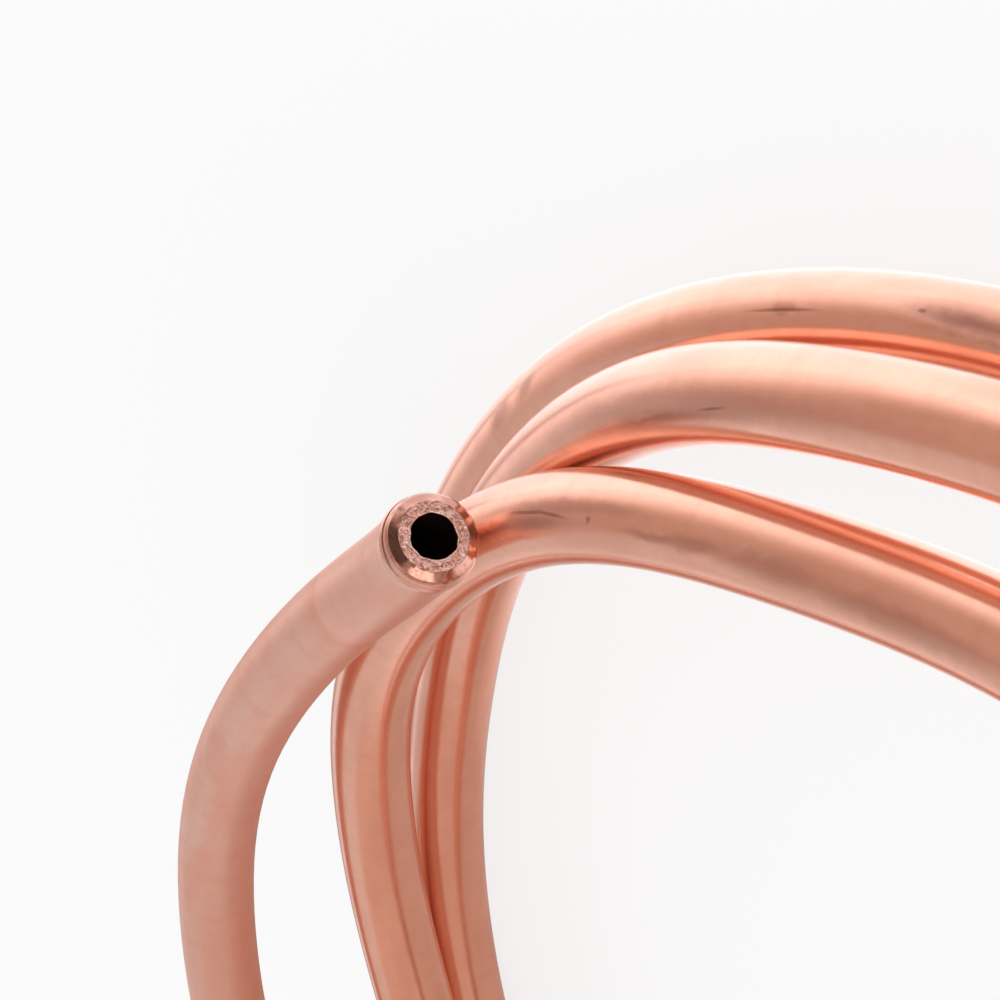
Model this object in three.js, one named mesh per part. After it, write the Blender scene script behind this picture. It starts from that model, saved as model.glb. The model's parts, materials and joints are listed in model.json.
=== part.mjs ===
// Copper tube coil: one length of soft round tube, hollow from end to end, wound by hand into a
// few loose turns and lying on its side with the axis of the coil upright. Both ends are cut
// off with a wheel cutter, which rolls the rim inwards and leaves a burr round the bore.
//
// Millimetres, +Z up. The coil rests on z = 0, with the middle of its box over the origin.

import * as THREE from "three";

// ---- the stock ----
const TUBE_OD = 6.35;
const WALL = 0.81;
const TUBE_LENGTH = 1524;

// ---- the coil ----
const COIL_RADIUS = 70;
const START_BEARING = 2.5;
// where along the route below the free end is cut off
const FACE_ANGLE = -1;

// The route of the middle of the tube, from the free end down to the last turn. Each row is the
// angle wound so far in degrees, how far outside COIL_RADIUS it runs and how high it lies, both
// in tube diameters. A stretch that rests on the floor is half a diameter high.
const ROUTE = [
  // the free end, lifted and turned up
  [-20, 0.7, 4.4],
  [0, -0.44, 3.16],
  [20, 0.06, 3.6],
  [40, 1.03, 3.9],
  // first turn, sprung wide at the start and pinched in where it passes below the free end
  [65, 1.95, 4],
  [100, 1.42, 3.85],
  [150, 0.15, 3.8],
  [220, -0.05, 3.4],
  [270, -0.55, 2.8],
  [305, -1.15, 2.3],
  [335, -1.4, 2.1],
  // second turn
  [360, -0.5, 2.25],
  [385, -0.1, 2.45],
  [420, -0.55, 2.25],
  [470, -0.45, 2.55],
  [530, -0.1, 2.65],
  [590, 0.2, 2.25],
  [630, 0.55, 1.85],
  [660, 0.8, 1.75],
  [690, 0.3, 2],
  // third turn
  [720, -0.05, 1.3],
  [750, -0.25, 1.05],
  [800, -0.1, 1.45],
  [870, 0.05, 1.6],
  [930, 0.05, 1.35],
  [970, 0.15, 0.9],
  // last stretch, flat on the floor
  [1010, 0.35, 0.5],
  [1060, 0.4, 0.5],
  [1105, 0.75, 0.5],
  [1145, 1.45, 0.5],
  [1195, 0.6, 0.5],
  [1245, 0.04, 0.5],
  // where a longer tube or a tighter coil would run on, inside the turn that lies on the floor
  [1285, -0.85, 0.5],
  [2010, -3.25, 0.5],
];
// each point of the route is an average over this many degrees to either side
const SMOOTHING_ANGLE = 16;
const SMOOTHING_SAMPLES = 6;

// ---- the cut ends ----
const CUT = {
  bevelDrop: 0.76, // how far the wheel drives the rim in
  bevelLength: 0.45,
  shoulderDrop: 0.1, // the rolled shoulder behind the bevel
  shoulderLength: 0.3,
  trackBehind: 1.6, // a first, stray track of the wheel: how far behind the face
  trackDepth: 0.08,
  trackWidth: 0.5,
  burr: 0.77, // how far the burr closes the bore
  burrLength: 1.8,
};

// ---- facets ----
const SIDES = 16;
const STATION_GAP = 10.5;
const CURVE_DIVISIONS = 3000;

const tubeRadius = TUBE_OD / 2;
const boreRadius = tubeRadius - WALL;

// The value of one column of ROUTE at an angle, straight from row to row.
function alongRoute(angle, column) {
  const last = ROUTE.length - 1;
  let row = 0;
  while (row < last - 1 && ROUTE[row + 1][0] < angle) row += 1;
  const [from, to] = [ROUTE[row], ROUTE[row + 1]];
  const share = THREE.MathUtils.clamp((angle - from[0]) / (to[0] - from[0]), 0, 1);
  return THREE.MathUtils.lerp(from[column], to[column], share);
}

// The same value averaged over the stretch around the angle, so that the tube bends smoothly.
function smoothRoute(angle, column) {
  let sum = 0;
  let weights = 0;
  for (let i = -SMOOTHING_SAMPLES; i <= SMOOTHING_SAMPLES; i += 1) {
    const offset = i / SMOOTHING_SAMPLES;
    const weight = 1 + Math.cos(Math.PI * offset);
    sum += weight * alongRoute(angle + offset * SMOOTHING_ANGLE, column);
    weights += weight;
  }
  return sum / weights;
}

// The middle of the tube, wound about +Z from the free end at the top.
class LooseCoil extends THREE.Curve {
  constructor() {
    super();
    this.sweep = ROUTE.at(-1)[0] - FACE_ANGLE;
    this.arcLengthDivisions = CURVE_DIVISIONS;
  }

  getPoint(t, target = new THREE.Vector3()) {
    const wound = FACE_ANGLE + t * this.sweep;
    const radius = COIL_RADIUS + smoothRoute(wound, 1) * TUBE_OD;
    const bearing = THREE.MathUtils.degToRad(START_BEARING + wound);
    return target.set(
      radius * Math.cos(bearing),
      radius * Math.sin(bearing),
      smoothRoute(wound, 2) * TUBE_OD,
    );
  }
}

// What the cutter leaves: pairs of the distance behind the end face and the radius there.
function mouthOutside() {
  const shoulder = CUT.bevelLength + CUT.shoulderLength;
  return [
    [0, tubeRadius - CUT.bevelDrop],
    [CUT.bevelLength, tubeRadius - CUT.shoulderDrop],
    [shoulder, tubeRadius],
    [CUT.trackBehind - CUT.trackWidth / 2, tubeRadius],
    [CUT.trackBehind, tubeRadius - CUT.trackDepth],
    [CUT.trackBehind + CUT.trackWidth / 2, tubeRadius],
  ];
}

function mouthInside() {
  return [
    [0, boreRadius - CUT.burr],
    [CUT.burrLength, boreRadius],
  ];
}

// The stations of one wall from end to end: both mouths, and evenly spaced ones between them.
function wallStations(mouth) {
  const clear = mouth.at(-1)[0];
  const radius = mouth.at(-1)[1];
  const gaps = Math.ceil((TUBE_LENGTH - 2 * clear) / STATION_GAP);
  const gap = (TUBE_LENGTH - 2 * clear) / gaps;
  const middle = [];
  for (let i = 1; i < gaps; i += 1) middle.push([clear + i * gap, radius]);
  const farMouth = mouth.map(([behind, r]) => [TUBE_LENGTH - behind, r]).reverse();
  return [...mouth, ...middle, ...farMouth];
}

// One ring of points round the middle of the tube.
function ringAt(curve, distance, radius) {
  const u = distance / curve.getLength();
  const centre = curve.getPointAt(u);
  const along = curve.getTangentAt(u);
  const side = new THREE.Vector3(0, 0, 1).cross(along).normalize();
  const lift = along.clone().cross(side);
  const ring = [];
  for (let i = 0; i < SIDES; i += 1) {
    const turn = (2 * Math.PI * i) / SIDES;
    ring.push(
      centre
        .clone()
        .addScaledVector(side, radius * Math.cos(turn))
        .addScaledVector(lift, radius * Math.sin(turn)),
    );
  }
  return ring;
}

// A skin over rings that close on themselves both ways: out along the outside, back down the bore.
function loftClosed(rings) {
  const positions = rings.flat().flatMap((p) => [p.x, p.y, p.z]);
  const faces = [];
  rings.forEach((_, r) => {
    const here = r * SIDES;
    const next = ((r + 1) % rings.length) * SIDES;
    for (let i = 0; i < SIDES; i += 1) {
      const j = (i + 1) % SIDES;
      faces.push(here + i, here + j, next + j);
      faces.push(here + i, next + j, next + i);
    }
  });
  const geometry = new THREE.BufferGeometry();
  geometry.setAttribute("position", new THREE.Float32BufferAttribute(positions, 3));
  geometry.setIndex(faces);
  geometry.computeVertexNormals();
  return geometry;
}

function copperTube() {
  const curve = new LooseCoil();
  const outside = wallStations(mouthOutside());
  const inside = wallStations(mouthInside()).reverse();
  const rings = [...outside, ...inside].map(([distance, radius]) => ringAt(curve, distance, radius));
  const copper = new THREE.MeshStandardMaterial({
    color: 0xc98563,
    roughness: 0.35,
    metalness: 1,
  });
  const tube = new THREE.Mesh(loftClosed(rings), copper);
  tube.name = "copper_tube";
  return tube;
}

// Sets a mesh down on the floor with the middle of its box over the origin.
function setDown(mesh) {
  mesh.geometry.computeBoundingBox();
  const box = mesh.geometry.boundingBox;
  const middle = box.getCenter(new THREE.Vector3());
  mesh.position.set(-middle.x, -middle.y, -box.min.z);
  return mesh;
}

const coil = new THREE.Group();
coil.add(setDown(copperTube()));

export default coil;
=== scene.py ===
"""Copper tube coil: one length of soft round tube wound by hand into a few loose turns.

It lies on its side, with the axis of the coil upright. Both ends are cut off with a wheel
cutter. Everything is in metres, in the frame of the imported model.
"""

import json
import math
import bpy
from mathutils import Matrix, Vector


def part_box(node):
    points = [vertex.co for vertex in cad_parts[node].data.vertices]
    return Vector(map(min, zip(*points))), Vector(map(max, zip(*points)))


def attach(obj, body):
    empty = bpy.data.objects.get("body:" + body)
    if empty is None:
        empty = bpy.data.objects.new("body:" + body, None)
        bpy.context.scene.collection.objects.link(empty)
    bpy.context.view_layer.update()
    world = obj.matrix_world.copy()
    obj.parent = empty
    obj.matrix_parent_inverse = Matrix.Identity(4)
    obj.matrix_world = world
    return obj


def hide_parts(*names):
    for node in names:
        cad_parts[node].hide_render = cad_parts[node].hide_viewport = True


bl_info = {
    "name": "Copper tube coil",
    "version": (1, 0, 0),
    "blender": (4, 5, 0),
    "location": "3D View > Sidebar > Copper coil",
    "description": "A loose hand-wound coil of soft copper tube, with its wheel-cut ends",
    "category": "Object",
}

from functools import reduce
from types import SimpleNamespace

import bpy
import numpy as np
from mathutils import Matrix

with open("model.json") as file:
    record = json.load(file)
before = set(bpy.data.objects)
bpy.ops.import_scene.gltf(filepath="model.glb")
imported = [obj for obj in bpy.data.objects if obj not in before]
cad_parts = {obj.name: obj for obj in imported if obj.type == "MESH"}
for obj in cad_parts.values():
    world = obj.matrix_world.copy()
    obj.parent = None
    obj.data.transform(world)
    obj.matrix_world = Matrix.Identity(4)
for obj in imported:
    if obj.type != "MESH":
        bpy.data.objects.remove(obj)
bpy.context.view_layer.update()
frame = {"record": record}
FREE_END = next(m["pos_m"] for m in frame["record"]["mounts"] if m["name"] == "free_end_face")
MM = 0.001
FULL_TURN = 2 * math.pi

# ---- the route of the tube ----

# Each row is the angle wound so far in degrees, how far outside the coil's radius the middle of
# the tube runs and how high it lies, both in tube diameters.
ROUTE = np.array([
    # the free end, lifted and turned up
    (-20, 0.7, 4.4),
    (0, -0.44, 3.16),
    (20, 0.06, 3.6),
    (40, 1.03, 3.9),
    # first turn
    (65, 1.95, 4),
    (100, 1.42, 3.85),
    (150, 0.15, 3.8),
    (220, -0.05, 3.4),
    (270, -0.55, 2.8),
    (305, -1.15, 2.3),
    (335, -1.4, 2.1),
    # second turn
    (360, -0.5, 2.25),
    (385, -0.1, 2.45),
    (420, -0.55, 2.25),
    (470, -0.45, 2.55),
    (530, -0.1, 2.65),
    (590, 0.2, 2.25),
    (630, 0.55, 1.85),
    (660, 0.8, 1.75),
    (690, 0.3, 2),
    # third turn
    (720, -0.05, 1.3),
    (750, -0.25, 1.05),
    (800, -0.1, 1.45),
    (870, 0.05, 1.6),
    (930, 0.05, 1.35),
    (970, 0.15, 0.9),
    # last stretch, flat on the floor
    (1010, 0.35, 0.5),
    (1060, 0.4, 0.5),
    (1105, 0.75, 0.5),
    (1145, 1.45, 0.5),
    (1195, 0.6, 0.5),
    (1245, 0.04, 0.5),
    (1285, -0.85, 0.5),
    (2010, -3.25, 0.5),
])
SMOOTHING_ANGLE = 16
SMOOTHING_SAMPLES = 6
FACE_ANGLE = -1

# ---- how finely the mesh is drawn ----
WALL_SIDES = 72
BEVEL_SIDES = 2 * WALL_SIDES
TEAR_SIDES = 2 * BEVEL_SIDES
BORE_SIDES = WALL_SIDES // 2
WALL_STEP = 2.4 * MM
DENT_STEP = 0.4 * MM
BORE_STEP = 9.0 * MM
# how far past a mouth the rings of the bore have come down to the wall's sides
BORE_THINNING = 1.5 * MM
BORE_RING_GAP = 1.0 * MM
SPINE_POINTS = 40001
# degrees to either side over which the direction of the route is measured
TANGENT_REACH = 0.01
SEED = 7


# ---- settings that a user would change ----

COLOUR = {"min": 0, "max": 1, "subtype": "COLOR"}
SHARE = {"min": 0, "max": 1, "subtype": "FACTOR"}


class TubeSettings(bpy.types.PropertyGroup):
    """Sizes of the tube and of the coil it is wound into."""

    diameter: bpy.props.FloatProperty(
        name="Outside diameter",
        description="Outside diameter of the tube",
        default=6.35 * MM,
        precision=5,
        unit="LENGTH",
    )
    wall: bpy.props.FloatProperty(
        name="Wall",
        description="Thickness of the tube's wall",
        default=0.81 * MM,
        precision=5,
        unit="LENGTH",
    )
    length: bpy.props.FloatProperty(
        name="Length",
        description="Length of the tube along its middle",
        default=1.524,
        unit="LENGTH",
    )
    coil_radius: bpy.props.FloatProperty(
        name="Coil radius",
        description="Mean radius of the turns, to the middle of the tube",
        default=0.07,
        unit="LENGTH",
    )
    start_bearing: bpy.props.FloatProperty(
        name="Start bearing",
        description="Where on the coil the free end lies, counter-clockwise from +X",
        default=math.radians(2.5),
        subtype="ANGLE",
    )


class CopperSettings(bpy.types.PropertyGroup):
    """Colours and gloss of the copper, among them the colours of its painted glints and painted
    shade.
    """

    fresh: bpy.props.FloatVectorProperty(
        name="Fresh copper",
        description="Clean drawn copper",
        default=(0.95, 0.50, 0.35),
        **COLOUR,
    )
    handled: bpy.props.FloatVectorProperty(
        name="Handled copper",
        description="Copper that has begun to dull where it was handled",
        default=(0.86, 0.43, 0.295),
        **COLOUR,
    )
    rubbed: bpy.props.FloatVectorProperty(
        name="Rubbed copper",
        description="Finely rubbed, matt copper of the first stretch",
        default=(0.88, 0.535, 0.42),
        **COLOUR,
    )
    torn: bpy.props.FloatVectorProperty(
        name="Torn copper",
        description="Grain of the metal where the cut tore through",
        default=(0.94, 0.53, 0.42),
        **COLOUR,
    )
    pressed: bpy.props.FloatVectorProperty(
        name="Pressed copper",
        description="Bevel that the wheel of the cutter pressed and smeared",
        default=(0.72, 0.38, 0.285),
        **COLOUR,
    )
    # tarnish, and painted shade in the dents and along the big dent's lower edge
    tarnished: bpy.props.FloatVectorProperty(
        name="Tarnished copper",
        description="Brown tarnish in patches and dents",
        default=(0.40, 0.165, 0.11),
        **COLOUR,
    )
    # stains of the bevel and dark scratches, and painted shade in the hollows of the torn ring
    pitted: bpy.props.FloatVectorProperty(
        name="Pitted copper",
        description="Pits of the torn grain and fine scratches",
        default=(0.24, 0.085, 0.06),
        **COLOUR,
    )
    # painted glints on the tops of the crumbs and on the sharp lip of the torn ring
    bright: bpy.props.FloatVectorProperty(
        name="Bright copper",
        description="Crests of the torn grain",
        default=(0.98, 0.80, 0.72),
        **COLOUR,
    )
    # oxide in the bore, and painted shade in the seam between the bevel and the torn ring
    soiled: bpy.props.FloatVectorProperty(
        name="Soiled copper",
        description="Oxide in the bore and dirt in the seam of the bevel",
        default=(0.10, 0.045, 0.03),
        **COLOUR,
    )
    film: bpy.props.FloatProperty(
        name="Oxide film",
        description="Share of the light that the thin film of oxide on the wall scatters",
        default=0.15,
        **SHARE,
    )
    gloss: bpy.props.FloatProperty(
        name="Roughness",
        description="Mean roughness of the drawn surface",
        default=0.19,
        **SHARE,
    )


class StageSettings(bpy.types.PropertyGroup):
    """The white studio round the coil."""

    floor_size: bpy.props.FloatProperty(
        name="Floor size",
        description="Side of the square floor",
        default=6.0,
        unit="LENGTH",
    )
    softbox_strength: bpy.props.FloatProperty(
        name="Softbox",
        description="Brightness of the softbox that faces the free end, where 1 is white",
        default=1.2,
    )
    backdrop_strength: bpy.props.FloatProperty(
        name="Backdrop",
        description="Brightness of the lit side of the backdrop in the metal, where 1 is white",
        default=1.78,
    )
    room_strength: bpy.props.FloatProperty(
        name="Room",
        description="Brightness of the unlit side of the studio in the metal, where 1 is white",
        default=0.53,
    )
    room_colour: bpy.props.FloatVectorProperty(
        name="Room colour",
        description="Tint of the unlit side of the studio in the metal",
        default=(1.0, 0.76, 0.70),
        **COLOUR,
    )
    backdrop_colour: bpy.props.FloatVectorProperty(
        name="Backdrop colour",
        description="Tint of the lit side of the backdrop in the metal",
        default=(0.88, 0.92, 1.0),
        **COLOUR,
    )
    lens: bpy.props.FloatProperty(
        name="Lens",
        description="Focal length on a 36 mm sensor",
        default=92.34,
        unit="CAMERA",
    )


# ---- shader maths ----


class Signal:
    """An output socket that can be added, multiplied and so on, each of which adds a Math node."""

    def __init__(self, shader, socket):
        self.shader = shader
        self.socket = socket

    def maths(self, operation, *values):
        return self.shader.node("ShaderNodeMath", dict(enumerate(values)), operation=operation)

    def __add__(self, other):
        return self.maths("ADD", self, other)

    def __sub__(self, other):
        return self.maths("SUBTRACT", self, other)

    def __rsub__(self, other):
        return self.maths("SUBTRACT", other, self)

    def __mul__(self, other):
        return self.maths("MULTIPLY", self, other)

    def __truediv__(self, other):
        return self.maths("DIVIDE", self, other)

    def __pow__(self, other):
        return self.maths("POWER", self, other)

    __radd__ = __add__
    __rmul__ = __mul__

    def most(self, other):
        return self.maths("MAXIMUM", self, other)

    def least(self, other):
        return self.maths("MINIMUM", self, other)


class Shader:
    """The nodes of one material or of the world, emptied and ready to be filled."""

    def __init__(self, owner):
        owner.use_nodes = True
        self.tree = owner.node_tree
        self.tree.nodes.clear()

    def node(self, kind, values=None, out=0, **settings):
        """Adds a node: first its settings, then the numbers or links of its inputs."""
        node = self.tree.nodes.new(kind)
        for name, setting in settings.items():
            setattr(node, name, setting)
        for name, value in (values or {}).items():
            self.feed(node.inputs[name], value)
        return Signal(self, node.outputs[out]) if node.outputs else node

    def feed(self, socket, value):
        if isinstance(value, Signal):
            self.tree.links.new(value.socket, socket)
        elif socket.type == "RGBA" and len(value) == 3:
            socket.default_value = (*value, 1)
        else:
            socket.default_value = value

    def step(self, value, low, high):
        """0 below low, 1 above high, and a smooth rise between them. Low may be above high."""
        values = {"Value": value, "From Min": low, "From Max": high}
        return self.node("ShaderNodeMapRange", values, interpolation_type="SMOOTHSTEP")

    def scaled(self, vector, factors):
        return self.node("ShaderNodeVectorMath", {0: vector, 1: factors}, operation="MULTIPLY")

    def shifted(self, vector, offset):
        return self.node("ShaderNodeVectorMath", {0: vector, 1: offset}, operation="ADD")

    def noise(self, place, scale, detail=2, roughness=0.5, stretch=None, shift=None):
        """A smooth random pattern around 0.5, at a place that is stretched or shifted first."""
        if stretch:
            place = self.scaled(place, stretch)
        if shift:
            place = self.shifted(place, shift)
        values = {"Vector": place, "Scale": scale, "Detail": detail, "Roughness": roughness}
        return self.node("ShaderNodeTexNoise", values)

    def mask(self, name):
        """A mask that the mesh carries as an attribute."""
        return self.node("ShaderNodeAttribute", out="Fac", attribute_name=name)

    def wander(self, place, scale):
        """A random direction at each point, which changes smoothly."""
        colour = self.node("ShaderNodeTexNoise", {"Vector": place, "Scale": scale}, out="Color")
        return self.shifted(colour, (-0.5, -0.5, -0.5))

    def blend(self, factor, first, second):
        """The colour first where factor is 0, and second where it is 1."""
        values = {0: factor, 6: first, 7: second}
        return self.node("ShaderNodeMix", values, out=2, data_type="RGBA")

    def split(self, vector):
        """The three parts of a vector."""
        first = self.node("ShaderNodeSeparateXYZ", {0: vector})
        return [Signal(self, socket) for socket in first.socket.node.outputs]

    def ray_is(self, *kinds):
        """1 for rays of these kinds, which Light Path tells apart."""
        rays = [self.node("ShaderNodeLightPath", out=kind) for kind in kinds]
        return reduce(Signal.most, rays)

    def reach(self, vector, centre, turned, half_sizes):
        """How far a point is from the centre of a turned ellipsoid: 1 on its surface."""
        values = {"Vector": vector, "Location": centre, "Rotation": turned, "Scale": half_sizes}
        local = self.node("ShaderNodeMapping", values, vector_type="TEXTURE")
        return self.node("ShaderNodeVectorMath", {0: local}, out="Value", operation="LENGTH")


# ---- the middle of the tube ----


def route_at(wound, column):
    """One column of ROUTE at angles in degrees: straight from row to row, then averaged over
    SMOOTHING_ANGLE to either side with weights 1 + cos."""
    offsets = np.arange(-SMOOTHING_SAMPLES, SMOOTHING_SAMPLES + 1) / SMOOTHING_SAMPLES
    weights = 1 + np.cos(math.pi * offsets)
    angles = wound[:, None] + offsets * SMOOTHING_ANGLE
    values = np.interp(angles, ROUTE[:, 0], ROUTE[:, column])
    return values @ weights / weights.sum()


def middle_at(wound, tube):
    """Points of the tube's middle: a circle about +Z, with its radius and height from ROUTE."""
    radius = tube.coil_radius + route_at(wound, 1) * tube.diameter
    bearing = tube.start_bearing + np.radians(wound)
    height = route_at(wound, 2) * tube.diameter
    return np.stack([radius * np.cos(bearing), radius * np.sin(bearing), height], axis=1)


class Spine:
    """The tube's middle measured off in metres, with a direction to the side and one up at each
    point: side = up x along and lift = along x side."""

    def __init__(self, tube):
        self.tube = tube
        self.wound = np.linspace(FACE_ANGLE, ROUTE[-1, 0], SPINE_POINTS)
        points = middle_at(self.wound, tube)
        steps = np.linalg.norm(np.diff(points, axis=0), axis=1)
        self.run = np.concatenate([[0], np.cumsum(steps)])

    def place(self, along, around, radius):
        """Where points lie that are `along` the middle, turned `around` it and `radius` off it.
        The three are arrays that broadcast to a grid."""
        along, around, radius = np.broadcast_arrays(along, around, radius)
        wound = np.interp(along.ravel(), self.run, self.wound)
        middle = middle_at(wound, self.tube)
        after = middle_at(wound + TANGENT_REACH, self.tube)
        before = middle_at(wound - TANGENT_REACH, self.tube)
        ahead = after - before
        ahead /= np.linalg.norm(ahead, axis=1, keepdims=True)
        side = np.cross([0, 0, 1], ahead)
        side /= np.linalg.norm(side, axis=1, keepdims=True)
        lift = np.cross(ahead, side)
        turn = around.ravel()[:, None]
        out = side * np.cos(turn) + lift * np.sin(turn)
        return (middle + out * radius.ravel()[:, None]).reshape(*along.shape, 3)


# ---- small irregularities ----


def lattice(across, down, columns, rows, seed):
    """Smooth random heights from -1 to 1: random values on a grid of columns by rows, blended
    between neighbours with 3t^2 - 2t^3. `across` from 0 to 1 wraps round, `down` doesn't."""
    values = np.random.default_rng(seed).uniform(-1, 1, (columns, rows + 1))
    across, down = np.broadcast_arrays((across % 1) * columns, np.clip(down, 0, 1) * rows)
    column = np.floor(across).astype(int)
    row = np.minimum(np.floor(down).astype(int), rows - 1)
    s = across - column
    t = down - row
    s = s * s * (3 - 2 * s)
    t = t * t * (3 - 2 * t)
    here = values[column % columns, row] * (1 - t) + values[column % columns, row + 1] * t
    after = (column + 1) % columns
    there = values[after, row] * (1 - t) + values[after, row + 1] * t
    return here * (1 - s) + there * s


# Flattening and waves of the wall, as shares of its radius. Each row of WAVES is the height of
# the waves and how many there are round the tube and along it.
FLATTENING = 0.006
WAVES = ((0.0032, 3, 90), (0.0011, 5, 260))

# Dents: distance from the free end, angle round the tube in degrees, half length, half width and
# depth, in millimetres, and how much steeper the dent is on its lower side, from 0 to 1.
DENTS = [
    (1291.2, 142, 5.6, 0.95, 0.14, 0.7),
    (1307.1, 122, 1.1, 0.35, 0.03, 0),
    (251.1, 40, 2.2, 0.8, 0.07, 0),
    (618.1, 70, 2.6, 0.8, 0.08, 0.3),
    (1016.1, 150, 2.0, 0.7, 0.06, 0),
]
# the low rim round a dent: its height as a share of the depth, then how far out it lies and how
# wide it is, as shares of the dent's half sizes
RIM_HEIGHT = 0.08
RIM_REACH = 1.5
RIM_WIDTH = 0.45


def ring_shares(sides):
    """Where the points of a ring lie, as shares of a full turn."""
    return np.arange(sides)[None, :] / sides


def swings(turn, sizes, seed):
    """Smooth random heights round a ring, added up over rows of a height and a count round it."""
    return sum(
        height * lattice(turn, 0.0, count, 1, seed + number)
        for number, (height, count) in enumerate(sizes)
    )


def turned_from(around, degrees):
    """How far an angle in radians is from one in degrees, from -pi to pi."""
    return (around - math.radians(degrees) + math.pi) % FULL_TURN - math.pi


def wall_radius(along, around, tube):
    """The outside of the drawn wall: a circle, a little flattened across the coil by bending,
    wavy by hundredths of a millimetre where hands bent it, and pushed in at the dents. A dent is
    exp(-reach^4) deep, tipped so that it is deeper on its steep side, with a low rim round it."""
    share = along / tube.length
    turn = around / FULL_TURN
    oval = -FLATTENING * np.cos(2 * around)
    waves = sum(
        height * lattice(turn, share, columns, rows, SEED + number)
        for number, (height, columns, rows) in enumerate(WAVES)
    )
    radius = tube.diameter / 2 * (1 + oval + waves)
    for distance, degrees, half_length, half_width, depth, steep in DENTS:
        lengthwise = (along / MM - distance) / half_length
        crosswise = turned_from(around, degrees) * tube.diameter / 2 / MM / half_width
        reach = np.sqrt(lengthwise**2 + crosswise**2)
        bowl = np.exp(-(reach**4)) * (1 - steep * np.clip(crosswise, -1, 1))
        rim = RIM_HEIGHT * np.exp(-(((reach - RIM_REACH) / RIM_WIDTH) ** 2))
        radius = radius - depth * MM * (bowl - rim)
    return radius


# ---- the wheel-cut mouths ----

# Each row is a distance behind the face and one in from the outside of the tube, in
# millimetres, and how many rows of faces lead to the next row.
# The bevel that the wheel pressed, the rolled lip behind it and the tracks of the wheel.
BEVEL_SECTION = [
    (0.00, 0.76, 1),
    (0.02, 0.74, 9),
    (0.38, 0.22, 2),
    (0.43, 0.15, 2),
    (0.52, 0.13, 2),
    (0.60, 0.07, 2),
    (0.70, -0.05, 2),
    (0.78, -0.07, 2),
    (0.86, -0.03, 2),
    (0.93, -0.03, 2),
    (1.02, -0.08, 3),
    (1.13, -0.19, 2),
    (1.22, -0.21, 2),
    (1.30, -0.16, 2),
    (1.38, -0.15, 2),
    (1.48, -0.20, 2),
    (1.60, -0.26, 2),
    (1.70, -0.26, 2),
    (1.80, -0.19, 3),
    (1.92, -0.05, 2),
    (2.02, 0.00, 2),
    (2.20, 0.04, 2),
    (2.32, 0.00, 3),
    (3.00, 0.00, 0),
]
# The wall behind the tear, the burr that closes the bore and the torn ring on the face.
TEAR_SECTION = [
    (2.60, 0.81, 2),
    (1.90, 0.82, 2),
    (1.20, 0.97, 2),
    (0.55, 1.25, 3),
    (0.16, 1.50, 2),
    (0.03, 1.57, 3),
    (0.00, 1.51, 26),
    (0.00, 0.79, 0),
]
MOUTH_DEPTH = BEVEL_SECTION[-1][0] * MM
BORE_DEPTH = TEAR_SECTION[0][0] * MM
TEAR_OUTSIDE = TEAR_SECTION[-1][1] * MM
TEAR_INSIDE = max(inset for _, inset, _ in TEAR_SECTION) * MM

# how far behind the face the pressed bevel passes into the rolled lip
BEVEL_LENGTH = 0.4 * MM
BEVEL_END = 0.5 * MM
LIP_START = 0.7 * MM
# how far in the bevel's surface counts as pressed, and where its seam with the tear begins, which
# gets painted shade
PRESSED_INSET = 0.1 * MM
SEAM_INSET = 0.66 * MM
SEAM_WIDTH = 0.08 * MM
FULL_INSET = 0.73 * MM
# how uneven the seam is, how far the wheel wandered along the tube, and the lip's unevenness as
# a share of its height
SEAM_UNEVENNESS = 0.045 * MM
WHEEL_WANDER = 0.05 * MM
LIP_UNEVENNESS = 0.15
# random swings round a ring: how high they are and how many go round it
SEAM_SWINGS = ((1, 17), (0.5, 41))
LIP_SWINGS = ((1, 3),)
WANDER_SWINGS = ((1, 2),)
BORE_SWINGS = ((1, 9), (0.8, 23))

# The crumbs of the torn ring in three sizes: how high, how many round it and how many across.
CRUMBS = ((0.45, 26, 3), (0.60, 52, 5), (0.40, 104, 10))
CRUMB_HEIGHT = 0.095 * MM
RING_SWELL = 0.03 * MM
FACE_DEPTH = 0.02 * MM
# the powers that make crumbs blunt and the ring's edges steep
CRUMB_BLUNTNESS = 0.7
SWELL_BLUNTNESS = 0.4
# Over the ring, from 0 at its outside to 1 at the bore: where the sharp lip is and how wide, by
# how much it is less crumbled, how wide the ring's soft inner edge is, and how wide its seam.
SHARP_LIP = 0.94
SHARP_LIP_WIDTH = 0.06
LIP_CALM = 0.6
TORN_EDGE = 0.05
TORN_SEAM = 0.07
# how much brighter, as painted highlights, raised crumbs and the sharp lip are than the middle of
# the relief shading; hollows get painted shade by the same share of the crumbs
CRUMB_GRAIN = 0.55
LIP_GRAIN = 0.4
# how uneven the bore's edge is, and how far down the bore that fades and the dull oxide starts
BORE_UNEVENNESS = 0.065 * MM
RAGGED_DEPTH = 0.8 * MM
OXIDE_DEPTH = 0.45 * MM


def section_rows(section, tube):
    """Columns of the distance behind the face and of the radius, in metres: each stretch of a
    section divided into its rows."""
    points = np.array(section)
    rows = [
        here[:2] + np.arange(here[2])[:, None] / here[2] * (there[:2] - here[:2])
        for here, there in zip(points, points[1:])
    ]
    behind, inset = np.concatenate([*rows, points[-1:, :2]]).T * MM
    return behind[:, None], tube.diameter / 2 - inset[:, None]


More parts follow.
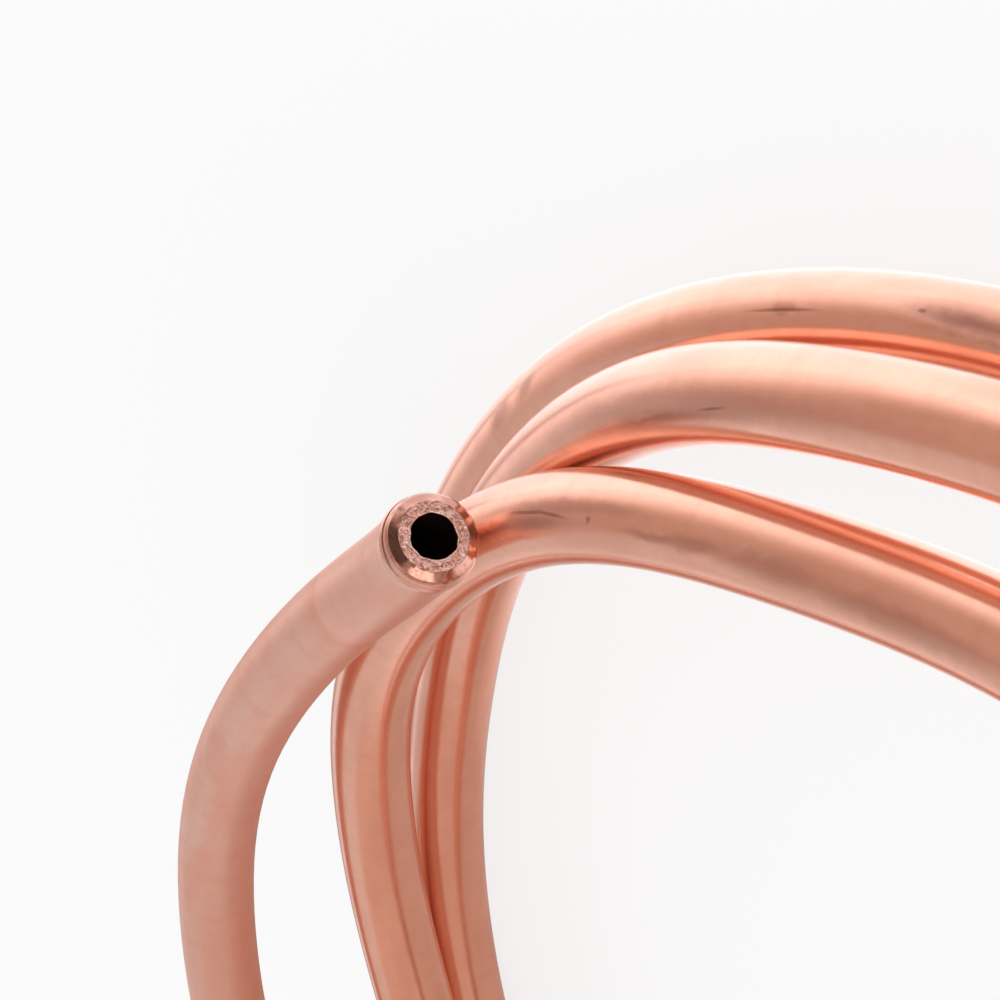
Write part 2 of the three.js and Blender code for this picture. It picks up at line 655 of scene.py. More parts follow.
def bevel_grid(tube, seed, far=False):
    """The bevel, lip and tracks as grids of the distance behind the face and the radius, and
    masks of the bevel and of the seam where it meets the tear: the section turned round the
    tube, uneven by random swings at the seam. The wheel rode up and down, so the lip is higher
    on one side. Under the far end, which lies on the floor, the lip is pressed flat: its height
    there falls with 1 + sin. The wavy wall takes over towards the last row, with the square of
    the distance."""
    behind, radius = section_rows(BEVEL_SECTION, tube)
    turn = ring_shares(BEVEL_SIDES)
    outside = tube.diameter / 2
    inset = outside - radius
    near_tear = np.clip(inset / FULL_INSET, 0, 1) ** 6
    radius = radius + SEAM_UNEVENNESS * swings(turn, SEAM_SWINGS, seed) * near_tear
    height = 1 - LIP_UNEVENNESS + LIP_UNEVENNESS * swings(turn, LIP_SWINGS, seed + 2)
    if far:
        height = height * np.clip(1 + np.sin(turn * FULL_TURN), 0, 1)
    radius = np.where(behind > BEVEL_END, outside - inset * height, radius)
    wander = WHEEL_WANDER * swings(turn, WANDER_SWINGS, seed + 3)
    wander = wander * np.clip(behind / BEVEL_LENGTH, 0, 1)
    pressed = np.clip(inset / PRESSED_INSET, 0, 1) * (behind < LIP_START)
    seam = np.clip((inset - SEAM_INSET) / SEAM_WIDTH, 0, 1)
    behind = behind + wander
    along = tube.length - behind if far else behind
    waves = wall_radius(along, turn * FULL_TURN, tube) - outside
    radius = radius + waves * np.clip(behind / MOUTH_DEPTH, 0, 1) ** 2
    return behind, radius, {"bevel": pressed, "seam": seam}


def tear_grid(tube, seed):
    """The burr and the torn ring as grids of the distance behind the face and the radius, and
    masks of the tear, of its relief shading, of its outer seam and of the bore. The relief shading
    goes from the hollows at 0 to the tops of the crumbs and the sharp lip at 1; from it the copper
    paints shade into the hollows and highlights onto the tops and the lip. The last of the wall
    tore, so the ring is a crust of crumbs and hollows: three sizes of random heights added up,
    which swell from both edges of the ring and are lower on the sharp lip at the bore. Random
    swings, which fade down the bore, give it a ragged edge with corners."""
    behind, radius = section_rows(TEAR_SECTION, tube)
    turn = ring_shares(TEAR_SIDES)
    inset = tube.diameter / 2 - radius
    share = (inset - TEAR_OUTSIDE) / (TEAR_INSIDE - TEAR_OUTSIDE)
    on_face = np.where(behind < FACE_DEPTH, 1.0, 0.0)
    crumbs = sum(
        height * lattice(turn, share, columns, rows, seed + number)
        for number, (height, columns, rows) in enumerate(CRUMBS)
    )
    crumbs = np.sign(crumbs) * np.abs(crumbs) ** CRUMB_BLUNTNESS
    swell = np.sin(math.pi * np.clip(share, 0, 1)) ** SWELL_BLUNTNESS
    lip = np.exp(-(((share - SHARP_LIP) / SHARP_LIP_WIDTH) ** 2))
    relief = swell * on_face * (CRUMB_HEIGHT * crumbs * (1 - LIP_CALM * lip) + RING_SWELL)
    ragged = swings(turn, BORE_SWINGS, seed + 3)
    near_bore = np.clip(share, 0, 1) ** 2 * np.exp(-behind / RAGGED_DEPTH)
    radius = radius + BORE_UNEVENNESS * ragged * near_bore
    masks = {
        "torn": on_face * np.clip((1 - share) / TORN_EDGE, 0, 1),
        # relief shading: the copper paints shade into the hollows and highlights onto the tops of
        # the crumbs and the sharp lip
        "grain": on_face * np.clip(0.5 + CRUMB_GRAIN * crumbs + LIP_GRAIN * lip, 0, 1),
        "seam": on_face * np.clip((TORN_SEAM - share) / TORN_SEAM, 0, 1),
        "bore": np.clip(behind / OXIDE_DEPTH, 0, 1),
    }
    return behind + relief, radius, masks


# ---- the skin ----

MASKS = ("torn", "grain", "seam", "bevel", "bore")
# the materials of the drawn wall, and of the mouths and the bore
WALL_SLOT, CUT_SLOT = 0, 1


class Skin:
    """Gathers grids of points that follow on from one another, each a stack of closed rings, and
    joins them. A ring may have as many, twice as many or half as many points as the next."""

    def __init__(self):
        self.points = []
        self.straight = []
        self.masks = {name: [] for name in MASKS}
        self.faces = []
        self.count = 0
        self.last_ring = None
        self.first_ring = None

    def add(self, spine, along, around, radius, backwards=False, **masks):
        """Adds a grid of rows of rings, its last row first if backwards."""
        along, around, radius = np.broadcast_arrays(along, around, radius)
        if backwards:
            along, around, radius = along[::-1], around[::-1], radius[::-1]
            masks = {name: mask[::-1] for name, mask in masks.items()}
        rows, sides = along.shape
        self.points.append(spine.place(along, around, radius).reshape(-1, 3))
        unrolled = np.stack([radius * np.cos(around), radius * np.sin(around), along], axis=-1)
        self.straight.append(unrolled.reshape(-1, 3) / MM)
        for name, values in self.masks.items():
            mask = np.broadcast_to(masks.get(name, 0.0), along.shape)
            values.append(mask.ravel())
        grid = self.count + np.arange(rows * sides).reshape(rows, sides)
        self.count += rows * sides
        self.join(grid[:-1], grid[1:])
        if self.last_ring is not None:
            self.join_rings(self.last_ring, grid[0])
        else:
            self.first_ring = grid[0]
        self.last_ring = grid[-1]

    def join(self, here, there):
        """Quads between rings with the same number of points."""
        here_after = np.roll(here, -1, axis=-1)
        there_after = np.roll(there, -1, axis=-1)
        quads = np.stack([here, here_after, there_after, there], axis=-1)
        self.faces.extend(quads.reshape(-1, 4).tolist())

    def join_rings(self, here, there):
        """Joins two rings. Where one has twice the points of the other, three triangles lead from
        each of its pairs to the single point."""
        if len(here) == len(there):
            self.join(here[None], there[None])
            return
        flip = len(here) < len(there)
        many, few = (there, here) if flip else (here, there)
        even, odd = many[0::2], many[1::2]
        even_after, few_after = np.roll(even, -1), np.roll(few, -1)
        triangles = np.concatenate([
            np.stack([even, odd, few], axis=1),
            np.stack([odd, few_after, few], axis=1),
            np.stack([odd, even_after, few_after], axis=1),
        ])
        if flip:
            triangles = triangles[:, ::-1]
        self.faces.extend(triangles.tolist())

    def close(self):
        self.join_rings(self.last_ring, self.first_ring)

    def mesh(self, mesh_name, shift):
        """A mesh with the masks and the place on the straight tube as attributes."""
        points = np.concatenate(self.points) + shift
        mesh = bpy.data.meshes.new(mesh_name)
        mesh.from_pydata(points, [], self.faces)
        places = np.concatenate(self.straight).astype(np.float32)
        straight = mesh.attributes.new("straight", "FLOAT_VECTOR", "POINT")
        straight.data.foreach_set("vector", places.ravel())
        for name, values in self.masks.items():
            mask = mesh.attributes.new(name, "FLOAT", "POINT")
            mask.data.foreach_set("value", np.concatenate(values).astype(np.float32))
        mesh.polygons.foreach_set("use_smooth", np.ones(len(mesh.polygons), bool))
        mesh.update()
        return mesh


def wall_stations(tube):
    """Distances of the rings between the mouths: evenly spaced, with more of them at the dents."""
    start, end = MOUTH_DEPTH, tube.length - MOUTH_DEPTH
    even = np.linspace(start, end, int((end - start) / WALL_STEP) + 1)
    steps = set()
    for distance, _, half_length, *_ in DENTS:
        reach = RIM_REACH * half_length * MM
        first = int((distance * MM - reach) / DENT_STEP)
        last = int((distance * MM + reach) / DENT_STEP)
        steps.update(range(first, last))
    fine = np.array(sorted(steps)) * DENT_STEP
    clear = np.min(np.abs(even[:, None] - fine[None, :]), axis=1) > DENT_STEP
    clear[[0, -1]] = True
    return np.sort(np.concatenate([even[clear], fine]))


def add_end(skin, spine, tube, grid, far=False):
    """Adds a part of the near or the far mouth, whose rows are measured from its face."""
    behind, radius, masks = grid
    along = tube.length - behind if far else behind
    around = ring_shares(radius.shape[1]) * FULL_TURN
    skin.add(spine, along, around, radius, backwards=far, **masks)


def add_bore(skin, spine, tube):
    """Adds the bore from the far mouth back to the near one, with fewer sides on the way."""
    radius = tube.diameter / 2 - tube.wall
    first = tube.length - BORE_DEPTH - BORE_THINNING
    last = BORE_DEPTH + BORE_THINNING
    count = int((first - last) / BORE_STEP) + 1
    gap = BORE_RING_GAP
    middle = np.linspace(first - 2 * gap, last + 2 * gap, count)
    for along, sides in (
        ([first + gap], BEVEL_SIDES),
        ([first], WALL_SIDES),
        (middle, BORE_SIDES),
        ([last], WALL_SIDES),
        ([last - gap], BEVEL_SIDES),
    ):
        around = ring_shares(sides) * FULL_TURN
        skin.add(spine, np.array(along)[:, None], around, radius, bore=1.0)


def tube_mesh(tube):
    """The whole tube as one closed skin: the near mouth from the bore outwards, the outside, the
    far mouth from the outside in, and the bore back to where it began."""
    spine = Spine(tube)
    skin = Skin()
    add_end(skin, spine, tube, tear_grid(tube, SEED + 10))
    add_end(skin, spine, tube, bevel_grid(tube, SEED + 20))
    stations = wall_stations(tube)[1:-1, None]
    around = ring_shares(WALL_SIDES) * FULL_TURN
    first_of_wall = len(skin.faces)
    skin.add(spine, stations, around, wall_radius(stations, around, tube))
    last_of_wall = len(skin.faces)
    add_end(skin, spine, tube, bevel_grid(tube, SEED + 30, far=True), far=True)
    add_end(skin, spine, tube, tear_grid(tube, SEED + 40), far=True)
    add_bore(skin, spine, tube)
    skin.close()

    round_wall = spine.place(stations, around, tube.diameter / 2).reshape(-1, 3)
    low, high = (np.array(corner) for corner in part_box("copper_tube"))
    shift = (low + high) / 2 - (round_wall.min(axis=0) + round_wall.max(axis=0)) / 2
    shift[2] = low[2] - np.concatenate(skin.points)[:, 2].min()
    mesh = skin.mesh("copper_tube_skin", shift)
    slots = np.full(len(mesh.polygons), CUT_SLOT, np.int32)
    slots[first_of_wall:last_of_wall] = WALL_SLOT
    mesh.polygons.foreach_set("material_index", slots)
    return mesh


# ---- the copper ----

# Marks, as ellipses on the tube's outside: distance from the free end, angle round the tube in
# degrees, half length, half width and slant in degrees, all else in millimetres.
SCRATCHES = [
    (443.3, 118.0, 1.6, 0.12, -2.5),
    (440.9, 115.0, 1.5, 0.12, -7.5),
    (436.9, 112, 0.20, 0.15, 0),
    (436.9, 110.6, 0.28, 0.10, 60),
    (1307.3, 122, 2.6, 0.11, 1),
    (1296.1, 137, 0.26, 0.13, 0),
    (862.0, 96, 1.3, 0.09, 5),
    (266.1, 60, 4.5, 0.06, 4),
    (566.1, 95, 7.0, 0.05, 3),
    (1126.1, 60, 6.0, 0.06, -4),
]
# Brown marks: tarnish, and at 1292 mm painted shade along the lower edge of the big dent.
TARNISH = [
    (439.2, 126, 6.8, 0.42, 1),
    (430.6, 104, 2.4, 0.30, 0),
    (427.0, 107, 2.4, 0.55, 5),
    (420.5, 106, 4.6, 0.80, 0),
    (410.0, 101, 8.0, 0.75, 0),
    # painted shade: the dark crescent along the lower edge of the big dent
    (1292.0, 133, 4.6, 0.60, 0),
    (1291.8, 128, 4.0, 0.45, 0),
    (0.2, 190, 0.5, 1.5, 0),
    (0.2, 238, 0.5, 0.8, 0),
    (1337.7, 122, 1.3, 0.55, 15),
    (1342.5, 116, 1.6, 0.70, 10),
    (306.1, 20, 4.0, 0.90, 8),
    (706.1, 150, 5.0, 0.70, -6),
    (986.1, 40, 3.0, 0.80, 12),
    (866.0, 103, 16.0, 1.00, 0),
]
# Pale marks: rubs, and at 1294 mm a painted reflection on the facet of the big dent.
RUBS = [
    (423.5, 115, 1.0, 0.25, 30),
    (421.3, 112, 0.8, 0.22, 35),
    # painted reflection on the facet of the big dent
    (1294.0, 139, 3.4, 0.50, 0),
    (870.0, 93, 1.6, 0.20, 10),
    (40.0, 80, 3.4, 1.10, 12),
    (57.0, 72, 5.0, 0.90, -8),
    (441.5, 105, 5.0, 0.95, 0),
]
# over which share of their half sizes the rims of the marks fade
SCRATCH_FADE = 1.3
TARNISH_FADE = 1.3
RUB_FADE = 0.7
DENT_FADE = 0.8
# how deep under the outside a mark reaches, as a share of the tube's radius
MARK_DEPTH = 0.6
# the ragged outlines of all but the scratches: how fine they are, per millimetre, and how far
# they stray round the tube and along it, in millimetres
RAGGED_SCALE = 0.9
RAGGED_REACH = (0.6, 0.6, 1.2)

# Random patterns on the straight tube, with scales per millimetre: those of the drawn wall with
# the wavy edge of the tide mark, and those that only the cut ends have.
WALL_PATTERNS = {
    "haze": {"scale": 0.34, "detail": 4, "roughness": 0.55, "stretch": (1, 1, 0.22)},
    "clouds": {"scale": 0.12, "detail": 3, "shift": (40, 10, 5)},
    "lines": {"scale": 5.0, "detail": 3, "roughness": 0.6, "stretch": (1, 1, 0.02)},
    "bands": {"scale": 0.55, "stretch": (0.12, 0.12, 1)},
    "scuffs": {"scale": 2.6, "detail": 5, "roughness": 0.7, "stretch": (1, 1, 0.35)},
    "blotches": {"scale": 0.9, "detail": 4, "roughness": 0.65, "shift": (9, 2, 4)},
    "ripple": {"scale": 0.55, "detail": 3, "roughness": 0.6, "stretch": (0.5, 0.5, 1)},
    "fine": {"scale": 22.0},
    "edge": {"scale": 0.5, "detail": 1},
}
CUT_PATTERNS = {
    "crumbs": {"scale": 4.8, "detail": 3, "roughness": 0.6},
    "specks": {"scale": 6.0, "shift": (3, 8, 1)},
    "mottle": {"scale": 2.2, "detail": 4, "roughness": 0.7, "shift": (5, 1, 7)},
    "rings": {"scale": 9.0, "stretch": (0.3, 0.3, 1)},
}

# The first stretch of the tube, in millimetres from its free end: between which distances the
# rubbed finish fades in, where the tide mark lies, how uneven and how soft its edge is, and how
# far its pale and its dark side reach.
RUBBED_FADE = (170, 110)
TIDE_MARK = 15.0
TIDE_UNEVENNESS = 2
TIDE_SOFTNESS = 0.5
PALE_REACH = 5
DARK_REACH = 3.5
# between which distances from either end the new metal of the lip fades in
LIP_FADE = (2.9, 2.1)

# What some masks are made of: the shares of others, and between which values they rise to 1.
# the brown of the tarnish, and painted shade in the dents
BROWNED = {"tarnished": 0.50, "dented": 0.32}
CLOUDY = {"haze": 0.65, "clouds": 0.35}
CLOUDY_RISE = (0.40, 0.62)
# how much of the clouds the rubbing took off
CLEARED = 0.6
SCUFFED_RISE = (0.60, 0.74)
BANDED_RISE = (0.50, 0.66)
UNEVEN = {"banded": 0.25, "blotched": 0.35}
# where the painted glints on the tops of the crumbs and the painted shade in the hollows rise
CREST_RISE = (0.80, 0.95)
PIT_RISE = (0.72, 0.54)
BLOTS = {"blotches": 0.4, "mottle": 0.6}
BLOTS_RISE = (0.48, 0.60)
# where the painted shade in the seam of the bevel rises over the mottle
SOILED_RISE = (0.42, 0.55)
# how much the mesh's relief shading adds to the painted glints and the painted shade of the torn
# ring, and how much blots and tarnish stain
GRAIN_SHARE = 0.5
BLOT_STAIN = 0.5
TARNISH_STAIN = 0.55

# The colours of the finish and of the painted glints, reflection and shade, one over the other:
# where each lies, how well it covers there, and its name in the settings.
WALL_LAYERS = (
    ("rubbed_zone", 1, "rubbed"),
    ("dulled", 1, "handled"),
    ("scuffed", 0.3, "handled"),
    ("uneven", 1, "handled"),
    ("pale", 0.6, "torn"),
    ("dark", 0.6, "handled"),
    ("rubbed", 0.25, "torn"),
    # tarnish, and painted shade in the dents
    ("browned", 1, "tarnished"),
    ("scratched", 0.60, "pitted"),
)
CUT_LAYERS = (
    ("torn", 1, "torn"),
    # painted glints on the tops of the crumbs
    ("crests", 0.85, "bright"),
    # painted shade in the hollows of the torn ring
    ("pits", 0.68, "pitted"),
    ("bevel", 1, "pressed"),
    ("stained", 1, "pitted"),
    # painted shade in the seam between the bevel and the torn ring
    ("soiled", 0.5, "soiled"),
    ("bore", 1, "soiled"),
)
# How much the roughness changes from the least to the most of a pattern, and on a mask.
PATTERN_ROUGHNESS = {"haze": 0.20, "lines": 0.05, "bands": 0.08}
WALL_ROUGHNESS = {"scuffed": 0.05, "rubbed_zone": 0.26, "tarnished": 0.12, "rubbed": 0.16}
CUT_ROUGHNESS = {"torn": 0.12, "bevel": -0.2, "bore": 0.3, "new_lip": -0.24}
LEAST_ROUGHNESS = 0.08
# How high the patterns stand, in millimetres: on the drawn wall, everywhere and on the torn ring.
DRAWN_RELIEF = {"lines": 0.0018, "ripple": 0.010}
WORN_RELIEF = {"scuffs": 0.0025, "fine": 0.0010}
TORN_RELIEF = {"crumbs": 0.12, "specks": 0.05}
RINGS_RELIEF = 0.006
SCRATCH_DEPTH = 0.008


def weighed(at, shares):
    """The sum of signals, each times its share."""
    return reduce(Signal.__add__, [getattr(at, name) * part for name, part in shares.items()])


def swung(at, shares):
    """The sum of patterns, each less its middle value 0.5 and times its share."""
    parts = [(getattr(at, name) - 0.5) * part for name, part in shares.items()]
    return reduce(Signal.__add__, parts)


def marked(shader, place, tube, marks, fade):
    """1 on the marks of a list, falling to 0 round their rims over a share `fade` of their half
    sizes. Each is an ellipsoid whose middle lies on the straight tube's outside."""
    radius = tube.diameter / 2 / MM
    masks = []
    for distance, degrees, half_length, half_width, slant in marks:
        turn = math.radians(degrees)
        reach = shader.reach(
            place,
            (radius * math.cos(turn), radius * math.sin(turn), distance),
            (math.radians(slant), 0, turn),
            (MARK_DEPTH * radius, half_width, half_length),
        )
        masks.append(shader.step(reach, 1 + fade / 2, 1 - fade / 2))
    return reduce(Signal.most, masks)


def wall_signals(shader, tube):
    """What varies over the drawn wall, by name and mostly from 0 to 1: the patterns, the placed
    marks and what is made of them."""
    straight = shader.node("ShaderNodeAttribute", out="Vector", attribute_name="straight")
    at = SimpleNamespace(straight=straight, along=shader.split(straight)[2])
    for name, pattern in WALL_PATTERNS.items():
        setattr(at, name, shader.noise(straight, **pattern))
    stray = shader.scaled(shader.wander(straight, RAGGED_SCALE), RAGGED_REACH)
    ragged = shader.shifted(straight, stray)
    at.scratched = marked(shader, straight, tube, SCRATCHES, SCRATCH_FADE)
    # tarnish, and painted shade along the lower edge of the big dent
    at.tarnished = marked(shader, ragged, tube, TARNISH, TARNISH_FADE)
    # pale rubs, and a painted reflection on the facet of the big dent
    at.rubbed = marked(shader, ragged, tube, RUBS, RUB_FADE)
    # the dents, which get painted shade
    dents = [(*dent[:4], 0) for dent in DENTS]
    at.dented = marked(shader, ragged, tube, dents, DENT_FADE)
    # tarnish and painted shade in the dents, together
    at.browned = weighed(at, BROWNED)

    # the first stretch, rubbed matt, with an uneven tide mark where a fitting sat
    edge = (at.edge - 0.5) * TIDE_UNEVENNESS + TIDE_MARK
    fitted = shader.step(at.along - edge, TIDE_SOFTNESS, -TIDE_SOFTNESS)
    at.rubbed_zone = shader.step(at.along, *RUBBED_FADE)
    at.pale = fitted * shader.step(edge - at.along, PALE_REACH, 0)
    at.dark = (1 - fitted) * shader.step(at.along - edge, DARK_REACH, 0)

    # dull clouds, worn places, bands and blotches
    cloudy = shader.step(weighed(at, CLOUDY), *CLOUDY_RISE)
    at.dulled = cloudy * (1 - at.rubbed_zone * CLEARED)
    at.scuffed = shader.step(at.scuffs, *SCUFFED_RISE)
    at.banded = shader.step(at.bands, *BANDED_RISE)
    at.blotched = shader.step(at.blotches, *BANDED_RISE)
    at.uneven = weighed(at, UNEVEN)
    return at


def add_cut_signals(shader, at, tube):
    """Adds what varies over the cut ends: the masks of the mesh and the patterns, the painted
    glints on the tops of the crumbs and the painted shade in the hollows of the torn ring, stains
    of the bevel, painted shade in its seam, and the lip's new metal."""
    for name in MASKS:
        setattr(at, name, shader.mask(name))
    for name, pattern in CUT_PATTERNS.items():
        setattr(at, name, shader.noise(at.straight, **pattern))
    grain = at.grain * GRAIN_SHARE
    # painted glints on the tops of the crumbs of the torn ring
    at.crests = shader.step(grain + at.specks, *CREST_RISE) * at.torn
    # painted shade in the hollows of the torn ring
    at.pits = shader.step(grain + at.crumbs, *PIT_RISE) * at.torn
    at.blots = shader.step(weighed(at, BLOTS), *BLOTS_RISE)
    at.stained = at.bevel * (at.blots * BLOT_STAIN).most(at.tarnished * TARNISH_STAIN)
    # painted shade in the seam where the bevel meets the torn ring
    at.soiled = at.seam * shader.step(at.mottle, *SOILED_RISE)
    from_end = at.along.least(tube.length / MM - at.along)
    at.new_lip = shader.step(from_end, *LIP_FADE) * at.rubbed_zone


def layered(shader, at, copper, colour, layers):
    """A colour with layers over it, each blended in where its mask lies."""
    for mask, cover, tint in layers:
        colour = shader.blend(getattr(at, mask) * cover, colour, getattr(copper, tint))
    return colour


def copper_material(name, copper, tube, cut):
    """Soft drawn copper. Patterns lie on the straight tube, before it was wound: draw lines and
    haze stretched along it, scuffs, placed scratches and tarnish, painted shade in the dents and
    along the lower edge of the big dent, a painted reflection on that dent's facet, and the first
    stretch rubbed matt with the tide mark of a fitting. With cut, it has the torn face of the cut,
    with painted glints on the tops of its crumbs and on its sharp lip and painted shade in its
    hollows, the pressed bevel with painted shade in its seam, and the dull bore as well, which
    only the mouths and the inside show."""
    material = bpy.data.materials.new(name)
    shader = Shader(material)
    at = wall_signals(shader, tube)
    colour = layered(shader, at, copper, copper.fresh, WALL_LAYERS)
    film = copper.film
    roughness = copper.gloss + swung(at, PATTERN_ROUGHNESS) + weighed(at, WALL_ROUGHNESS)
    drawn = swung(at, DRAWN_RELIEF)
    height = swung(at, WORN_RELIEF) - at.scratched * SCRATCH_DEPTH
    if cut:
        add_cut_signals(shader, at, tube)
        colour = layered(shader, at, copper, colour, CUT_LAYERS)
        film = film * (1 - at.bevel - at.torn)
        roughness = roughness + weighed(at, CUT_ROUGHNESS)
        drawn = drawn * (1 - at.torn)
        height = height + swung(at, TORN_RELIEF) * at.torn
        height = height + (at.rings - 0.5) * at.bevel * RINGS_RELIEF
    bump = {"Strength": 1.0, "Distance": MM, "Height": drawn + height}
    finish = {
        "Base Color": colour,
        "Metallic": 1 - film,
        "Roughness": roughness.most(LEAST_ROUGHNESS),
        "Normal": shader.node("ShaderNodeBump", bump),
    }
    surface = shader.node("ShaderNodeBsdfPrincipled", finish)
    shader.node("ShaderNodeOutputMaterial", {"Surface": surface})
    return material


# ---- the stage ----

WHITE = (1, 1, 1)
# how much of the floor's white is its own glow, which no shadow darkens
GLOWING_SHARE = 0.80
FLOOR_GREY = (0.92, 0.92, 0.92)
# Where the floor gets bright in the metal, as x - y * FLOOR_SLANT, where it gets dimmer in
# front, as y, in metres, and by how much.
FLOOR_SLANT = 0.8
FLOOR_LIT = (-0.005, 0.095)
FLOOR_FRONT = (-0.03, -0.08)
FRONT_DIMMING = 0.6

# The studio as the metal sees it. Bearings are in degrees from +X. A pair is where a thing begins
# and where it is full: a spread is the cosine of the angle to its bearing, seen from above, and a
# height goes from 0 at the horizon to 1 overhead.
BACKDROP_BEARING = 28
BACKDROP_SPREAD = (0.45, 1.0)
BACKDROP_HEIGHT = (0.56, 0.05)
BACKDROP_SHARE = 0.88
# a pale wall, which narrows upwards and is brightest at its foot
WALL_BEARING = 107
WALL_SPREAD = (0.56, 0.92)
WALL_NARROWING = 0.26
WALL_NARROWS = (0.35, 0.62)
WALL_FOOT = (0.42, 0.0)
WALL_GLOW = 0.13
FOOT_GLOW = 0.36
WALL_TINT = 0.8
# the room's paler side
ROOM_BEARING = 165
ROOM_SPREAD = (-0.1, 0.8)
ROOM_GLOW = 0.10
# a dark card: its bearing and its height in degrees, its edge as a cosine, and how dark it is
CARD_DIRECTION = (-47, 32)
CARD_EDGE = (0.74, 0.83)
CARD_DARKNESS = 0.75
# how brightly the world lights what is matt
MATT_LIGHT = 0.85
NEARLY_ZERO = 0.001

SOFTBOX_DIRECTION = (-125, 32)
SOFTBOX_DISTANCE = 0.5
SOFTBOX_SIZE = 0.28


def unit_towards(bearing, height):
    """The unit vector at a bearing from +X and a height over the horizon, in degrees."""
    bearing, height = math.radians(bearing), math.radians(height)
    flat = math.cos(height)
    return flat * math.cos(bearing), flat * math.sin(bearing), math.sin(height)


def floor_material(stage):
    """A white floor that keeps a faint shadow. In the metal it is bright on the lit side, towards
    +X, fades into the unlit half of the room inside the coil and is dimmer in front of it."""
    material = bpy.data.materials.new("studio_floor")
    shader = Shader(material)
    x, y, _ = shader.split(shader.node("ShaderNodeTexCoord", out="Object"))
    lit = shader.step(x - y * FLOOR_SLANT, *FLOOR_LIT)
    in_metal = stage.room_strength + lit * (stage.backdrop_strength - stage.room_strength)
    in_metal = in_metal * (1 - shader.step(y, *FLOOR_FRONT) * FRONT_DIMMING)
    seen = shader.ray_is("Is Camera Ray")
    mirrored = shader.ray_is("Is Glossy Ray", "Is Transmission Ray")
    tint = shader.blend(lit, stage.room_colour, stage.backdrop_colour)
    light = {"Color": shader.blend(mirrored, WHITE, tint), "Strength": seen + mirrored * in_metal}
    glow = shader.node("ShaderNodeEmission", light)
    matt = shader.node("ShaderNodeBsdfDiffuse", {"Color": FLOOR_GREY})
    share = seen * GLOWING_SHARE + mirrored
    both = shader.node("ShaderNodeMixShader", {0: share, 1: matt, 2: glow})
    shader.node("ShaderNodeOutputMaterial", {"Surface": both})
    return material


def studio_world(stage):
    """White to the camera. The metal sees the white backdrop low down on the lit side, a dim
    warm room above it, a pale wall at the back and a dark card in front of the free end."""
    world = bpy.data.worlds.new("studio")
    shader = Shader(world)
    x, y, z = shader.split(shader.node("ShaderNodeTexCoord", out="Generated"))
    flat = ((x * x + y * y) ** 0.5).most(NEARLY_ZERO)

    def towards(bearing):
        """The cosine of the angle, seen from above, between the direction and a bearing."""
        east, north, _ = unit_towards(bearing, 0)
        return (x * east + y * north) / flat

    lit = shader.step(towards(BACKDROP_BEARING), *BACKDROP_SPREAD)
    lit = lit * shader.step(z, *BACKDROP_HEIGHT)
    begins, full = WALL_SPREAD
    begins = shader.step(z, *WALL_NARROWS) * WALL_NARROWING + begins
    pale_wall = shader.step(towards(WALL_BEARING), begins, full)
    east, north, up = unit_towards(*CARD_DIRECTION)
    card = shader.step(x * east + y * north + z * up, *CARD_EDGE)
    paler = shader.step(towards(ROOM_BEARING), *ROOM_SPREAD)
    dim = stage.room_strength + paler * ROOM_GLOW
    dim = dim + pale_wall * (WALL_GLOW + FOOT_GLOW * shader.step(z, *WALL_FOOT))
    dim = dim * (1 - card * CARD_DARKNESS)
    in_metal = dim + lit * (stage.backdrop_strength * BACKDROP_SHARE - dim)
    seen = shader.ray_is("Is Camera Ray")
    mirrored = shader.ray_is("Is Glossy Ray", "Is Transmission Ray")
    whiteness = lit.most(pale_wall * WALL_TINT)
    tint = shader.blend(whiteness, stage.room_colour, stage.backdrop_colour)
    strength = seen + mirrored * in_metal + (1 - seen - mirrored) * MATT_LIGHT
    light = {"Color": shader.blend(mirrored, WHITE, tint), "Strength": strength}
    background = shader.node("ShaderNodeBackground", light)
    shader.node("ShaderNodeOutputWorld", {"Surface": background})
    return world


def aim(position, target, roll=0.0):
    """The matrix of something at position that looks at target, with +Z of the room upwards."""
    back = np.array(position, float) - target
    back /= np.linalg.norm(back)
    right = np.cross([0, 0, 1], back)
    right /= np.linalg.norm(right)
    up = np.cross(back, right)
    matrix = np.eye(4)
    matrix[:3, 0] = math.cos(roll) * right + math.sin(roll) * up
    matrix[:3, 1] = math.cos(roll) * up - math.sin(roll) * right
    matrix[:3, 2] = back
    matrix[:3, 3] = position
    return Matrix(matrix.tolist())


def softbox(name, position, target, width, height, strength):
    """A rectangular lamp whose face is `strength` times white: its power is pi times its area
    times the strength."""
    lamp = bpy.data.lights.new(name, "AREA")
    lamp.shape = "RECTANGLE"
    lamp.size = width
    lamp.size_y = height
    lamp.energy = math.pi * width * height * strength
    lamp_object = bpy.data.objects.new(name, lamp)
    lamp_object.matrix_world = aim(position, target)
    bpy.context.scene.collection.objects.link(lamp_object)


# ---- operators ----

CAMERA_PLACE = (0.067887, -0.150039, 0.099496)
CAMERA_TARGET = (0.067279, -0.026599, 0.029908)
CAMERA_ROLL = math.radians(-117.67)
CAMERA_CLIP = 0.005


